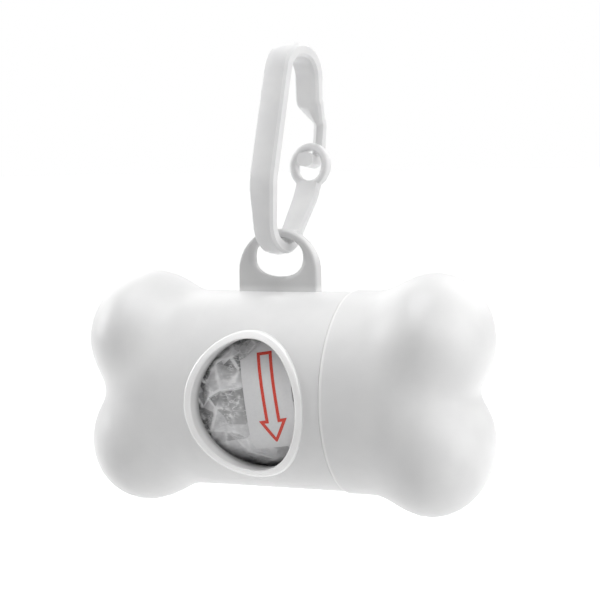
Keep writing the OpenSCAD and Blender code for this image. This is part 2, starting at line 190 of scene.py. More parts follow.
class Surface(Graph):
    """The nodes of one material, which ends in a Principled shader."""

    def __init__(self, name: str) -> None:
        """Makes a material with its shader and output.

        Args:
            name: The material's name.
        """
        self.material = bpy.data.materials.new(name)
        self.material.use_nodes = True
        super().__init__(self.material.node_tree)
        self.shader = self.tree.nodes["Principled BSDF"]
        self.coordinates = self.node("ShaderNodeTexCoord", {}, {}, "Object")

    def attribute(self, name: str) -> Value:
        """A number that is stored on the mesh."""
        return self.node("ShaderNodeAttribute", {"attribute_name": name}, {}, "Fac")

    def noise(self, size: float, detail: float = 2.0, stretch: tuple = (1, 1, 1)) -> Value:
        """Cloudy noise whose features have the given size.

        Args:
            size: Size of a feature in metres.
            detail: Octaves of finer noise.
            stretch: How far the pattern is drawn out along each axis.

        Returns:
            The noise, from 0 to 1.
        """
        scale = tuple(1 / (size * s) for s in stretch)
        place = self.node("ShaderNodeMapping", {}, {"Vector": self.coordinates, "Scale": scale})
        return self.node("ShaderNodeTexNoise", {}, {"Vector": place, "Scale": 1.0, "Detail": detail})

    def blend(self, factor: Value, first: "Value | tuple", second: "Value | tuple") -> Value:
        """Mixes two colours: the first where the factor is 0 and the second where it is 1."""
        one, other = (end if isinstance(end, Value) else (*end, 1.0) for end in (first, second))
        return self.node("ShaderNodeMix", {"data_type": "RGBA"}, {"Factor": factor, 6: one, 7: other}, 2)

    def clouded(self, noise: Value, dark: tuple, pale: tuple) -> Value:
        """Two colours that follow a noise, blended over its middle levels."""
        return self.blend(noise.between(*MIDDLE), dark, pale)

    def relief(self, height: Value, depth: float) -> Value:
        """Normal of a surface that stands up by depth metres where the height is 1."""
        return self.node("ShaderNodeBump", {}, {"Height": height, "Strength": 1.0, "Distance": depth})

    def paint(self, **inputs: object) -> bpy.types.Material:
        """Feeds the shader's sockets.

        Args:
            inputs: A value for each socket, whose name has underscores for its spaces.

        Returns:
            The finished material.
        """
        for name, value in inputs.items():
            self.feed(self.shader.inputs[name.replace("_", " ")], value)
        return self.material


# ---------- Finishes ----------


@dataclass(frozen=True)
class MouldedPlastic:
    """White plastic as it leaves a polished mould: satin, with a faint unevenness."""

    name: str
    colour: tuple = (0.860, 0.860, 0.858)
    shade: tuple = (0.825, 0.825, 0.826)
    roughness: float = 0.36
    roughness_spread: float = 0.08
    grain: float = 0.35 * MM
    grain_depth: float = 0.0022 * MM
    flow: float = 9 * MM
    sink: float = 3.0
    ior: float = 1.46

    def material(self) -> bpy.types.Material:
        """Builds the material: broad flow marks, and a fine grain in the gloss and the relief.

        Returns:
            The material.
        """
        graph = Surface(self.name)
        marks = self.marks(graph)
        flow = graph.noise(self.flow, 3.0)
        grain = graph.noise(self.grain, 2.0)
        sink = graph.noise(self.flow / 3, 1.0)
        return graph.paint(
            Base_Color=self.colours(graph, flow, marks),
            Roughness=self.roughness + self.roughness_spread * (flow + grain - 1),
            Normal=graph.relief(self.raised(grain + self.sink * sink, marks), self.grain_depth),
            IOR=self.ior,
            **self.polish(marks),
        )

    def marks(self, graph: Surface) -> dict[str, Value]:
        """Where the moulding looks different, from 0 to 1: nowhere on a plain one."""
        return {}

    def colours(self, graph: Surface, flow: Value, marks: dict[str, Value]) -> Value:
        """Colour over the moulding: two whites that follow its flow marks."""
        return graph.clouded(flow, self.shade, self.colour)

    def raised(self, height: Value, marks: dict[str, Value]) -> Value:
        """Height of the relief, in grain depths."""
        return height

    def polish(self, marks: dict[str, Value]) -> dict[str, object]:
        """More sockets of the shader, for a moulding that has a polished place."""
        return {}


@dataclass(frozen=True)
class HousingPlastic(MouldedPlastic):
    """The housing's plastic: a polished coat and a painted highlight on the window's rim, a painted highlight
    along the cap's edge at the seam, and painted shade on the eye plate and in the bore.

    Its places are measured from the middle of the barrel. Each step is the stretch, measured from
    such a place, over which a mask grows from 0 to 1.
    """

    middle: tuple = (0.0, 0.0, 0.0)
    barrel: float = BARREL
    bore: float = 16 * MM
    window_place: float = -1.6 * MM
    window_reach: float = 12.5 * MM
    front: float = -7.5 * MM
    window_step: tuple = (-0.2 * MM, 0.2 * MM)
    front_step: tuple = (-0.5 * MM, 0.5 * MM)
    rim_step: tuple = (0.15 * MM, 0.4 * MM)
    plate_step: tuple = (0.1 * MM, 1.5 * MM)
    bore_step: tuple = (-0.4 * MM, 2.1 * MM)
    skin_step: tuple = (-0.8 * MM, -0.4 * MM)
    seam_width: float = 0.4 * MM
    seam_round: float = 0.2 * MM
    # painted highlight: the whiter colour of the window's rim and of the seam's edge
    rim: tuple = (0.99, 0.99, 0.985)
    # painted shade: the greyer colour of the eye plate
    painted_plate_shade: tuple = (0.68, 0.68, 0.68)
    # painted shade: the dark colour of the bore and the window's inner wall
    painted_bore_shade: tuple = (0.34, 0.34, 0.34)

    def colours(self, graph: Surface, flow: Value, marks: dict[str, Value]) -> Value:
        """Lays the painted highlight of the rim and the seam's edge, the painted shade of the eye plate and
        the painted shade of the bore over the moulding's own colours.

        Args:
            graph: The material's graph.
            flow: The flow marks.
            marks: The masks of the places.

        Returns:
            The colour.
        """
        colour = graph.blend(marks["pale"], super().colours(graph, flow, marks), self.rim)
        colour = graph.blend(marks["plate"], colour, self.painted_plate_shade)
        return graph.blend(marks["depth"], colour, self.painted_bore_shade)

    def raised(self, height: Value, marks: dict[str, Value]) -> Value:
        """Rounds the cap's edge at the seam."""
        return height + (self.seam_round / self.grain_depth) * marks["edge"]

    def polish(self, marks: dict[str, Value]) -> dict[str, object]:
        """The polish on the window's rim."""
        return {"Coat_Weight": marks["rim"], "Coat_Roughness": 0.12, "Coat_IOR": 1.6}

    def marks(self, graph: Surface) -> dict[str, Value]:
        """Finds the rim, the eye plate, the shaded bore and the cap's edge, by their places.

        Args:
            graph: The material's graph.

        Returns:
            A mask from 0 to 1 for each of them, and "pale" for the painted highlight on the rim and the
            seam's edge.
        """
        place = graph.node("ShaderNodeVectorMath", {"operation": "SUBTRACT"},
                           {0: graph.coordinates, 1: self.middle})
        x, y, z = (graph.node("ShaderNodeSeparateXYZ", {}, {"Vector": place}, axis) for axis in "XYZ")
        out = (y * y + z * z).power(0.5)
        beside = (x - self.window_place).absolute()
        near = 1 - beside.past(self.window_reach, *self.window_step)
        front = 1 - y.past(self.front, *self.front_step)
        rim = near * front * out.past(self.barrel, *self.rim_step)
        # painted shade on the eye plate
        plate = near * z.past(self.barrel, *self.plate_step)
        # painted shade in the bore and on the window's inner wall, fading outwards
        depth = near * (1 - out.past(self.bore, *self.bore_step))
        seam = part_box("cap")[0][0] - self.middle[0]
        edge = x.past(seam, 0, self.seam_width)
        strip = edge * (1 - x.past(seam, self.seam_width, 2 * self.seam_width))
        skin = out.past(self.barrel, *self.skin_step)
        # painted highlight on the rim and on a strip of the cap's edge at the seam
        pale = (rim + strip * skin).clamp()
        return {"rim": rim, "plate": plate, "depth": depth, "edge": edge, "pale": pale}


@dataclass(frozen=True)
class Cardboard:
    """Grey-brown board of the core, with fibres and darker specks."""

    name: str
    colour: tuple = (0.42, 0.31, 0.21)
    shade: tuple = (0.27, 0.19, 0.12)
    fibre: float = 0.25 * MM
    fibre_stretch: tuple = (6, 1, 1)
    fibre_share: float = 0.6
    speck: float = 0.9 * MM
    depth: float = 0.04 * MM
    roughness: float = 0.86
    roughness_spread: float = 0.1

    def material(self) -> bpy.types.Material:
        """Builds the material: long fibres in the colour and the relief.

        Returns:
            The material.
        """
        graph = Surface(self.name)
        fibres = graph.noise(self.fibre, 4.0, self.fibre_stretch)
        specks = graph.noise(self.speck, 2.0)
        board = fibres * self.fibre_share + specks * (1 - self.fibre_share)
        return graph.paint(
            Base_Color=graph.clouded(board, self.shade, self.colour),
            Roughness=self.roughness + self.roughness_spread * (fibres - 0.5),
            Normal=graph.relief(fibres, self.depth),
        )


@dataclass(frozen=True)
class BagFilm:
    """Grey-white bag film of little thickness: a soft sheen, paler where more film lies, with painted shade
    in its low places and in listed places, painted light in others, and a painted highlight along its folds
    and creases.
    """

    name: str
    colour: tuple = (0.83, 0.83, 0.84)
    # the colour for a low share: one layer of film, and painted shade
    shade: tuple = (0.24, 0.24, 0.245)
    # painted highlight: the pale colour of ridges and crease lines, partly the film's whitening there
    fold: tuple = (0.97, 0.97, 0.975)
    cloud: float = 1.6 * MM
    cloud_stretch: tuple = (1.5, 1, 0.8)
    patch: float = 3.1 * MM
    patch_step: tuple = (0.4, 0.6)
    crease: float = 1.1 * MM
    crease_stretch: tuple = (1.8, 1, 0.7)
    crease_round: float = 0.7
    crease_depth: float = 0.12 * MM
    line: float = 20.0
    line_share: float = 0.6
    cloud_share: float = 0.7
    lift_share: float = 0.4
    lift_middle: float = 0.6
    ridge_share: float = 0.9
    ridge_step: tuple = (0.53, 0.85)
    roughness: float = 0.32
    roughness_spread: float = 0.16

    def material(self) -> bpy.types.Material:
        """Builds the material: its film share, painted shade by height and the painted highlight on its folds
        in the colour, small creases in the relief.

        Returns:
            The material.
        """
        graph = Surface(self.name)
        cloud = graph.noise(self.cloud, 4.0, self.cloud_stretch) - 0.5
        creases = (graph.noise(self.crease, 2.0, self.crease_stretch) - 0.5).absolute()
        patches = graph.noise(self.patch, 1.0).between(*self.patch_step)
        lines = (1 - self.line * creases).clamp() * patches
        # painted shade by height: darker where the film lies low, paler where it stands high
        height_shade = self.lift_share * (graph.attribute("height_shade") - self.lift_middle)
        layers_and_shading = graph.attribute("layers_and_shading") + self.cloud_share * cloud + height_shade
        # painted highlight on ridges and along crease lines
        ridges = graph.attribute("ridge").between(*self.ridge_step)
        folds = self.ridge_share * ridges + self.line_share * lines
        film = graph.blend(layers_and_shading.clamp(), self.shade, self.colour)
        return graph.paint(
            Base_Color=graph.blend(folds.clamp(), film, self.fold),
            Roughness=self.roughness + self.roughness_spread * cloud,
            Normal=graph.relief(creases.power(self.crease_round), self.crease_depth),
        )


@dataclass(frozen=True)
class Paper:
    """Smooth pale paper with a faint mottle of fibres."""

    name: str
    colour: tuple = (0.92, 0.92, 0.925)
    shade: tuple = (0.87, 0.87, 0.88)
    tooth: float = 0.5 * MM
    wave: float = 6 * MM
    wave_depth: float = 4.0
    depth: float = 0.02 * MM
    roughness: float = 0.7
    roughness_spread: float = 0.15

    def material(self) -> bpy.types.Material:
        """Builds the material: mottle in the colour and the relief.

        Returns:
            The material.
        """
        graph = Surface(self.name)
        mottle = graph.noise(self.tooth, 4.0)
        waves = graph.noise(self.wave, 1.0)
        return graph.paint(
            Base_Color=graph.clouded(mottle * 0.5 + waves * 0.5, self.shade, self.colour),
            Roughness=self.roughness + self.roughness_spread * (mottle - 0.5),
            Normal=graph.relief(mottle + self.wave_depth * waves, self.depth),
        )


@dataclass(frozen=True)
class Ink:
    """Red printing ink, a little uneven on the paper."""

    name: str
    colour: tuple = (0.82, 0.080, 0.050)
    shade: tuple = (0.72, 0.070, 0.045)
    tooth: float = 0.3 * MM
    depth: float = 0.01 * MM
    roughness: float = 0.55
    roughness_spread: float = 0.2

    def material(self) -> bpy.types.Material:
        """Builds the material: fine mottle, with the paper's tooth in the relief.

        Returns:
            The material.
        """
        graph = Surface(self.name)
        mottle = graph.noise(self.tooth, 3.0)
        return graph.paint(
            Base_Color=graph.clouded(mottle, self.shade, self.colour),
            Roughness=self.roughness + self.roughness_spread * (mottle - 0.5),
            Normal=graph.relief(mottle, self.depth),
        )


# ---------- Mesh tools ----------


def activate(piece: bpy.types.Object) -> None:
    """Makes a piece the only one that is selected, and active.

    Args:
        piece: The piece.
    """
    bpy.ops.object.select_all(action="DESELECT")
    piece.select_set(True)
    bpy.context.view_layer.objects.active = piece


def apply_modifier(piece: bpy.types.Object, kind: str, **settings: object) -> None:
    """Adds a modifier with these settings and applies it.

    Args:
        piece: The piece that gets it.
        kind: Blender's name for the modifier's type.
        settings: The modifier's properties.
    """
    activate(piece)
    modifier = piece.modifiers.new(kind.title(), kind)
    for name, value in settings.items():
        setattr(modifier, name, value)
    bpy.ops.object.modifier_apply(modifier=modifier.name)


def vertices(piece: bpy.types.Object) -> np.ndarray:
    """Reads a piece's vertices.

    Args:
        piece: The piece.

    Returns:
        The vertices, as rows of x, y, z.
    """
    points = np.zeros(len(piece.data.vertices) * 3)
    piece.data.vertices.foreach_get("co", points)
    return points.reshape(-1, 3)


def place_vertices(piece: bpy.types.Object, points: np.ndarray) -> None:
    """Moves a piece's vertices to these rows of x, y, z."""
    piece.data.vertices.foreach_set("co", points.ravel())
    piece.data.update()


def store(mesh: bpy.types.Mesh, name: str, domain: str, numbers: np.ndarray) -> None:
    """Stores a number for each vertex (POINT) or face (FACE), for a finish to read."""
    mesh.attributes.new(name, "FLOAT", domain).data.foreach_set("value", numbers)


def dress(piece: bpy.types.Object, material: bpy.types.Material, body: Body) -> None:
    """Gives a piece its material and its body.

    Args:
        piece: The piece.
        material: Its finish.
        body: The body it moves with.
    """
    piece.data.materials.clear()
    piece.data.materials.append(material)
    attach(piece, body.value)
    faces = len(piece.data.polygons)
    log.info("%s rides on %s with %s, %d faces", piece.name, body.value, material.name, faces)


# ---------- Mouldings ----------


@dataclass
class Moulding:
    """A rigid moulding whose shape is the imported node's: a merged copy with smooth shading."""

    node: str
    name: str
    body: Body
    slot: Slot
    finish: MouldedPlastic
    merge: float = 0.004 * MM
    sharp: float = 28.0
    ledge_place: float = -13.2 * MM
    ledge_radius: float = BARREL
    ledge_width: float = 0.05 * MM
    ledge_height: float = 0.1 * MM

    def build(self) -> bpy.types.Object:
        """Copies the node, joins its loose triangles and shades it smooth up to its sharp edges.

        Returns:
            The finished piece, which replaces the node.
        """
        piece = bpy.data.objects.new(self.name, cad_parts[self.node].data.copy())
        bpy.context.scene.collection.objects.link(piece)
        activate(piece)
        bpy.ops.mesh.customdata_custom_splitnormals_clear()
        bpy.ops.object.mode_set(mode="EDIT")
        bpy.ops.mesh.select_all(action="SELECT")
        bpy.ops.mesh.remove_doubles(threshold=self.merge)
        bpy.ops.object.mode_set(mode="OBJECT")
        self.settle_ledge(piece)
        bpy.ops.object.shade_smooth_by_angle(angle=math.radians(self.sharp))
        dress(piece, self.finish.material(), self.body)
        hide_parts(self.node)
        return piece

    def settle_ledge(self, piece: bpy.types.Object) -> None:
        """Levels the fine ledge between the bone end and the barrel, flush with the barrel.

        Args:
            piece: The merged copy.
        """
        axis = np.array(RollSurface().middle)
        points = vertices(piece) - axis
        out = np.hypot(points[:, 1], points[:, 2])
        ledge = np.abs(points[:, 0] - self.ledge_place) < self.ledge_width
        ledge &= np.abs(out - self.ledge_radius) < self.ledge_height
        points[ledge, 1:] *= (self.ledge_radius / out[ledge])[:, None]
        place_vertices(piece, points + axis)


# ---------- Roll of bags ----------


@dataclass
class RollSurface:
    """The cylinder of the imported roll."""

    low: Vector = field(default_factory=lambda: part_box("bag_roll")[0])
    high: Vector = field(default_factory=lambda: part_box("bag_roll")[1])

    @property
    def middle(self) -> Vector:
        """The middle of the roll, on the barrel's axis."""
        return (self.low + self.high) / 2

    @property
    def radius(self) -> float:
        """Outside radius of the wound roll."""
        return (self.high.z - self.low.z) / 2

    def wrap(self, along: np.ndarray, across: np.ndarray, height: np.ndarray) -> np.ndarray:
        """Places points on the roll.

        Args:
            along: Distance of each point from the roll's middle, towards the cap.
            across: Its distance from the front, upwards and on round the wrapper.
            height: Its height above the roll's surface.

        Returns:
            The points as rows of x, y, z.
        """
        r = self.radius + height
        angle = across / ROUND
        local = np.stack([along, -r * np.cos(angle), r * np.sin(angle)], axis=1)
        return local + np.array(self.middle)


@dataclass
class PaperBand:
    """The paper strip round the roll, wound a little askew, with one end in the window."""

    surface: RollSurface
    finish: Paper
    width: float = 9.85 * MM
    left: float = -2.7 * MM
    sway: tuple = (2.0 * MM, 1.1 * MM)
    sway_middle: float = -5.0 * MM
    end_angle: float = -38.0
    arc: float = 300.0
    slant: float = 0.2
    seat: float = 0.52 * MM
    thickness: float = 0.09 * MM
    curl: float = 0.07 * MM
    edge_curl: float = 0.6 * MM
    end_curl: float = 1.2 * MM
    end_lift: float = 1.5
    wave: float = 0.25
    wave_across: float = 1.9 * MM
    wave_along: float = 2.3 * MM
    wave_start: float = 0.6
    smooth: float = 40.0
    columns: int = 34
    rows: int = 260

    def left_edge(self, across: np.ndarray) -> np.ndarray:
        """Place of the strip's left edge along the roll, at each distance round the roll."""
        turn = (across - self.sway_middle) / ROUND
        return self.left - self.sway[0] * (1 - np.cos(turn)) - self.sway[1] * (1 - np.cos(2 * turn))

    def build(self) -> bpy.types.Object:
        """Wraps a flat grid round the roll and gives it the paper's thickness.

        Returns:
            The finished strip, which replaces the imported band.
        """
        bpy.ops.mesh.primitive_grid_add(x_subdivisions=self.columns, y_subdivisions=self.rows, size=1)
        piece = bpy.context.object
        piece.name = "paper_band_strip"
        flat = vertices(piece) + 0.5
        start, length = (math.radians(a) * ROUND for a in (self.end_angle, self.arc))
        offset = self.width * (flat[:, 0] - 0.5)
        across = start + length * flat[:, 1] + self.slant * offset
        along = self.left_edge(across) + self.width * flat[:, 0]
        edge = np.minimum(flat[:, 0], 1 - flat[:, 0]) * self.width
        end = np.minimum(flat[:, 1], 1 - flat[:, 1]) * length
        rise = np.exp(-edge / self.edge_curl) + self.end_lift * np.exp(-end / self.end_curl)
        wave = np.sin(across / self.wave_across + self.wave_start) * np.sin(along / self.wave_along)
        height = self.seat + self.curl * np.clip(rise + self.wave * wave, 0, self.end_lift)
        place_vertices(piece, self.surface.wrap(along, across, height))
        apply_modifier(piece, "SOLIDIFY", thickness=self.thickness, offset=1.0)
        bpy.ops.object.shade_smooth_by_angle(angle=math.radians(self.smooth))
        dress(piece, self.finish.material(), Body.ROLL)
        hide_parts("paper_band")
        return piece


@dataclass
class Arrow:
    """The outlined arrow that is printed on the band and points down."""

    surface: RollSurface
    band: PaperBand
    finish: Ink
    shaft_w: float = 3.05 * MM
    head_w: float = 5.75 * MM
    head_l: float = 5.0 * MM
    length: float = 17.8 * MM
    line: float = 0.62 * MM
    slant: float = 0.165
    tilt: float = 0.02
    tail: tuple = (0.02 * MM, 9.02 * MM)
    height: float = 0.635 * MM
    thickness: float = 0.02 * MM
    smooth: float = 40.0
    halvings: int = 4

    def outline(self) -> list[tuple[float, float]]:
        """Draws the arrow flat, with its tail at the origin and its tip below.

        Returns:
            Its corners, in order.
        """
        shaft, head, neck = self.shaft_w / 2, self.head_w / 2, self.head_l - self.length
        left = [(-shaft, 0.0), (-shaft, neck), (-head, neck), (0.0, -self.length)]
        right = [(head, neck), (shaft, neck), (shaft, 0.0)]
        return left + right

    def build(self) -> bpy.types.Object:
        """Fills the outline, insets it by the line's width, opens the middle and wraps the line.

        Returns:
            The printed line, a thin piece on the band.
        """
        corners = self.outline()
        bpy.ops.mesh.primitive_circle_add(vertices=len(corners), radius=self.head_w, fill_type="NGON")
        piece = bpy.context.object
        piece.name = "band_arrow"
        place_vertices(piece, np.array([(x, y, 0.0) for x, y in corners]))
        bpy.ops.object.mode_set(mode="EDIT")
        bpy.ops.mesh.select_all(action="SELECT")
        bpy.ops.mesh.normals_make_consistent(inside=False)
        bpy.ops.mesh.inset(thickness=self.line, use_boundary=True)
        bpy.ops.mesh.delete(type="ONLY_FACE")
        for _ in range(self.halvings):
            bpy.ops.mesh.select_all(action="SELECT")
            bpy.ops.mesh.subdivide(number_cuts=1)
        bpy.ops.object.mode_set(mode="OBJECT")
        flat = vertices(piece)
        up = self.tail[1] + flat[:, 1] + self.slant * flat[:, 0]
        along = self.tail[0] + flat[:, 0] - self.tilt * flat[:, 1]
        along += self.band.left_edge(up) - self.band.left_edge(np.array([self.tail[1]]))
        height = np.full(len(flat), self.height)
        place_vertices(piece, self.surface.wrap(along, up, height))
        apply_modifier(piece, "SOLIDIFY", thickness=self.thickness, offset=1.0)
        bpy.ops.object.shade_smooth_by_angle(angle=math.radians(self.smooth))
        dress(piece, self.finish.material(), Body.ROLL)
        return piece


@dataclass
class LooseBag:
    """The crumpled outer bag: film that is pressed down by the band and stands in folds beside it.

    The fold corners are in millimetres: distance along the roll, distance round it from the front,
    and height above it. The ones in the window are listed, the others come from a seeded scatter.
    A row of the film shares holds two such distances and the share of film near them; the shares also paint
    shadow beside the window's left wall and light at its bottom. All other distances and heights of the film
    are in millimetres too, apart from merge and thickness.
    """

    surface: RollSurface
    band: PaperBand
    finish: BagFilm
    seed: int = 5
    corners: tuple = (
        (-12.5, 12.8, 0.55), (-8.6, 13.0, 0.90), (-5.4, 12.8, 0.60), (-11.6, 8.6, 0.30), (-8.3, 7.1, 0.95),
        (-6.3, 9.3, 1.05), (-5.2, 10.6, 0.75), (-6.3, 7.5, 0.95), (-9.4, 6.3, 0.90), (-10.9, 2.7, 0.75),
        (-11.6, 0.9, 0.30), (-8.4, 3.3, 0.95), (-5.3, 2.9, 0.88), (-5.6, -2.1, 0.74), (-4.2, -1.0, 0.70),
        (-11.7, -2.1, 0.25), (-11.2, -3.6, 0.40), (-11.4, -5.7, 0.35), (-9.1, -7.4, 0.60), (-7.8, -8.8, 0.95),
        (-6.0, -10.7, 0.65), (-11.0, -10.5, 0.60), (-8.3, -12.0, 0.75), (-4.0, -13.8, 0.60),
        (1.5, -15.2, 0.60), (5.5, -15.0, 0.60), (9.0, -15.0, 0.50), (-1.6, -11.9, 0.50), (1.8, -11.0, 0.48),
        (4.6, -10.4, 0.46), (7.5, -10.0, 0.42), (-4.9, 8.6, 0.80),
    )
    folds: tuple = (
        ((-10.3, 0.0, 1.02), (-7.8, 1.35, 1.10), (-3.9, 2.05, 0.85)),
        ((-10.2, -0.3, 0.60), (-7.75, 1.0, 0.50), (-3.85, 1.7, 0.50)),
        ((-7.9, 6.2, 0.30), (-4.45, 5.2, 0.45)),
        ((-10.3, 0.0, 1.02), (-8.8, -1.95, 0.88), (-9.0, -2.9, 0.98), (-7.4, -3.55, 0.72),
         (-6.75, -5.05, 0.78), (-5.85, -6.4, 1.08)),
        ((-10.4, -6.5, 1.02), (-7.4, -6.6, 1.10), (-5.85, -6.4, 1.08), (-3.4, -7.9, 0.80)),
        ((-5.6, -8.4, 0.92), (-3.6, -11.2, 1.08), (0.9, -13.0, 1.10), (3.0, -12.6, 1.05), (7.0, -12.9, 0.90)),
        ((-3.3, -1.4, 0.60), (-3.1, -5.0, 0.62)),
    )
    # painted shade and light: shares of 0 beside the window's left wall paint its shadow, and shares over 1
    # at the window's bottom paint light
    layers_and_shading: tuple = (
        (-8.5, 4.5, 0.75), (-6.0, 3.8, 0.70), (-9.8, 1.6, 0.60), (-5.5, 2.3, 0.85), (-7.5, -0.5, 0.38),
        (-5.0, 0.0, 0.34), (-5.2, -3.5, 0.42), (-10.4, -1.2, 0.80), (-10.2, -4.2, 0.42), (-8.4, -4.8, 0.72),
        (-7.5, -5.8, 0.88), (-4.7, -5.7, 0.80), (-6.5, -7.3, 0.45), (-9.3, -8.3, 0.90), (-7.2, -10.0, 1.05),
        (-4.6, -9.3, 0.95), (-1.5, -12.0, 1.15), (2.0, -11.6, 0.80), (5.0, -11.0, 1.20), (-3.0, -13.2, 0.90),
        (0.5, -13.6, 1.20), (3.4, -14.0, 0.70), (6.0, -14.2, 1.20), (-5.2, -12.0, 0.85), (-3.4, -10.6, 1.20),
        (-6.0, 6.2, 0.12), (-8.5, 8.5, 0.42), (-6.8, 8.3, 0.80), (-5.5, 9.7, 0.50), (-7.5, 10.8, 0.35),
        (-5.3, 11.7, 0.28), (-10.5, 8.0, 0.20), (-12.2, 4.0, 0.0), (-12.2, -1.0, 0.0), (-12.0, -7.0, 0.0),
        (-12.4, 9.0, 0.05),
    )
    window: tuple = (-12.4, 8.2, -15.6, 13.3)
    lap: tuple = (
        (-5.0, 12.6, 0.70), (-5.1, 9.2, 0.85), (-4.7, 7.0, 0.72), (-3.6, 7.6, 0.86), (-2.7, 8.9, 1.02),
        (-3.9, 9.6, 0.74), (-1.9, 10.4, 0.98), (-0.4, 11.6, 0.84), (-2.9, 11.2, 1.06), (0.6, 13.0, 0.80),
        (-4.2, 11.0, 0.80),
    )
    spacing: float = 3.0
    squeeze: float = 0.8
    shake: float = 0.35
    seams: tuple = (0.35, 1.0)
    valleys: tuple = (0.25, 0.5)
    peaks: tuple = (0.8, 1.1)
    chance: tuple = (0.15, 0.9)
    seam_clear: tuple = (1.5, 1.0)
    held: tuple = (0.5, 5.0)
    well_under: float = -0.4
    under: float = -0.2
    snap: float = 0.01
    cuts: int = 7
    pressed: float = 0.40
    pressed_spread: float = 0.04
    over_band: float = 0.66
    lap_lowest: float = 0.69
    lowest: float = 0.08
    highest: float = 1.12
    loosening: float = 1.2
    lap_loose: float = 0.4
    seam_fade: float = 1.5
    crease: float = 0.27
    crease_pressed: float = 0.15
    crease_mark: float = 0.25
    crease_waves: int = 9
    crease_lengths: tuple = (1.1, 3.4)
    swirl: float = 0.5
    ridge: float = 0.08
    lift_low: float = 0.35
    lift_range: float = 0.7
    merge: float = 0.01 * MM
    smooth: float = 60.0
    thickness: float = 0.02 * MM

    @property
    def half_turn(self) -> float:
        """Half way round the roll, in millimetres."""
        return math.pi * ROUND / MM

    def band_distance(self, along: np.ndarray, across: np.ndarray) -> np.ndarray:
        """Measures how far places lie from the band.

        Args:
            along: Distance of each place along the roll, in millimetres.
            across: Its distance round the roll.

        Returns:
            The distance outside the band's edges and ends, which is negative under the band.
        """
        turn = 2 * self.half_turn
        start, length = (math.radians(a) * ROUND / MM for a in (self.band.end_angle, self.band.arc))
        past = (across - start + turn / 2) % turn - turn / 2
        past = np.where(past < length - turn, past + turn, past)
        ends = np.maximum(-past, past - length)
        left = self.band.left_edge(across * MM) / MM
        sides = np.maximum(left - along, along - left - self.band.width / MM)
        return np.maximum(ends, sides)

    def scatter(self) -> list[tuple[float, float, float]]:
        """Shakes a lattice of fold corners.

        Returns:
            The corners that lie outside the window.
        """
        rng = np.random.default_rng(self.seed)
        low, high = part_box("loose_bag")
        left, right = ((end - self.surface.middle.x) / MM for end in (low.x, high.x))
        half = self.half_turn
        columns = round((right - left) / self.spacing)
        rows = round(2 * half / (self.squeeze * self.spacing))
        places = []
        for column in range(columns + 1):
            seam = rng.uniform(*self.seams)
            for row in range(rows + 1):
                x = left + (right - left) * (column + rng.uniform(-self.shake, self.shake)) / columns
                across = -half + 2 * half * (row + rng.uniform(-self.shake, self.shake)) / rows
                height = rng.choice((rng.uniform(*self.valleys), rng.uniform(*self.peaks)))
                if column in (0, columns):
                    x = left if column == 0 else right
                if row in (0, rows):
                    across, height = (-half if row == 0 else half), seam
                    x = left + (right - left) * column / columns
                places.append((x, across, height))
        west, east, south, north = self.window
        return [p for p in places if not (west < p[0] < east and south < p[1] < north)]

    def net(self) -> bpy.types.Object:
        """Joins the fold corners by flat facets, with the listed folds kept as edges.

        Returns:
            The unrolled film as a flat net whose third coordinate is the height above the roll.
        """
        corners = self.scatter() + list(self.corners)
        edges = []
        for fold in self.folds:
            edges += [(len(corners) + i, len(corners) + i + 1) for i in range(len(fold) - 1)]
            corners += fold
        corners += self.held_corners()
        points = np.array(corners)
        covered = self.band_distance(points[:, 0], points[:, 1]) < self.under
        points[covered, 2] = self.pressed
        placed, faces = self.facets(points, edges)
        lap, lap_faces = self.facets(np.array(self.lap), [])
        faces += [[corner + len(placed) for corner in face] for face in lap_faces]
        mesh = bpy.data.meshes.new("loose_bag_film")
        mesh.from_pydata(placed + lap, [], faces)
        store(mesh, "layers_and_shading", "FACE", self.film_share_and_shading(mesh))
        piece = bpy.data.objects.new("loose_bag_film", mesh)
        bpy.context.scene.collection.objects.link(piece)
        return piece

    def held_corners(self) -> list[tuple[float, float, float]]:
        """Finds the corners that the band holds down: rows of three, from one side to the other.

        Returns:
            The corners that lie well under the band.
        """
        side, centre = self.held
        first, last = self.seam_clear
        corners = []
        for across in np.arange(first - self.half_turn, self.half_turn - last, self.spacing):
            left = float(self.band.left_edge(across * MM)) / MM
            for x in (left + side, left + centre, left + self.band.width / MM - side):
                if self.band_distance(np.array([x]), np.array([across]))[0] < self.well_under:
                    corners.append((x, across, self.pressed))
        return corners

    def facets(self, points: np.ndarray, edges: list) -> tuple[list, list]:
        """Joins corners by flat facets.

        Args:
            points: The corners, as rows of place along, place round and height.
            edges: Pairs of corners that stay joined.

        Returns:
            The corners and the faces.
        """
        places = [Vector(point[:2]) for point in points]
        flat, _, faces, origins, _, _ = delaunay_2d_cdt(places, edges, [], 0, self.snap)
        placed = [(v.x, v.y, points[o[0]][2] if o else self.pressed) for v, o in zip(flat, origins)]
        return placed, [list(face) for face in faces]

    def film_share_and_shading(self, mesh: bpy.types.Mesh) -> np.ndarray:
        """Says how much film lies in each facet, listed in the window and by chance elsewhere; the listed
        shares also paint shade and light.

        Args:
            mesh: The flat net.

        Returns:
            The share for each facet: 0 for one layer of film, 1 and over for many, with painted shade and
                light in the listed ones.
        """
        rng = np.random.default_rng(self.seed + 2)
        middles = np.array([face.center[:2] for face in mesh.polygons])
        patches = np.array(self.layers_and_shading)
        away = np.linalg.norm(middles[:, None] - patches[None, :, :2], axis=2)
        west, east, south, north = self.window
        seen = (middles > (west, south)).all(axis=1) & (middles < (east, north)).all(axis=1)
        return np.where(seen, patches[away.argmin(axis=1), 2], rng.uniform(*self.chance, len(middles)))

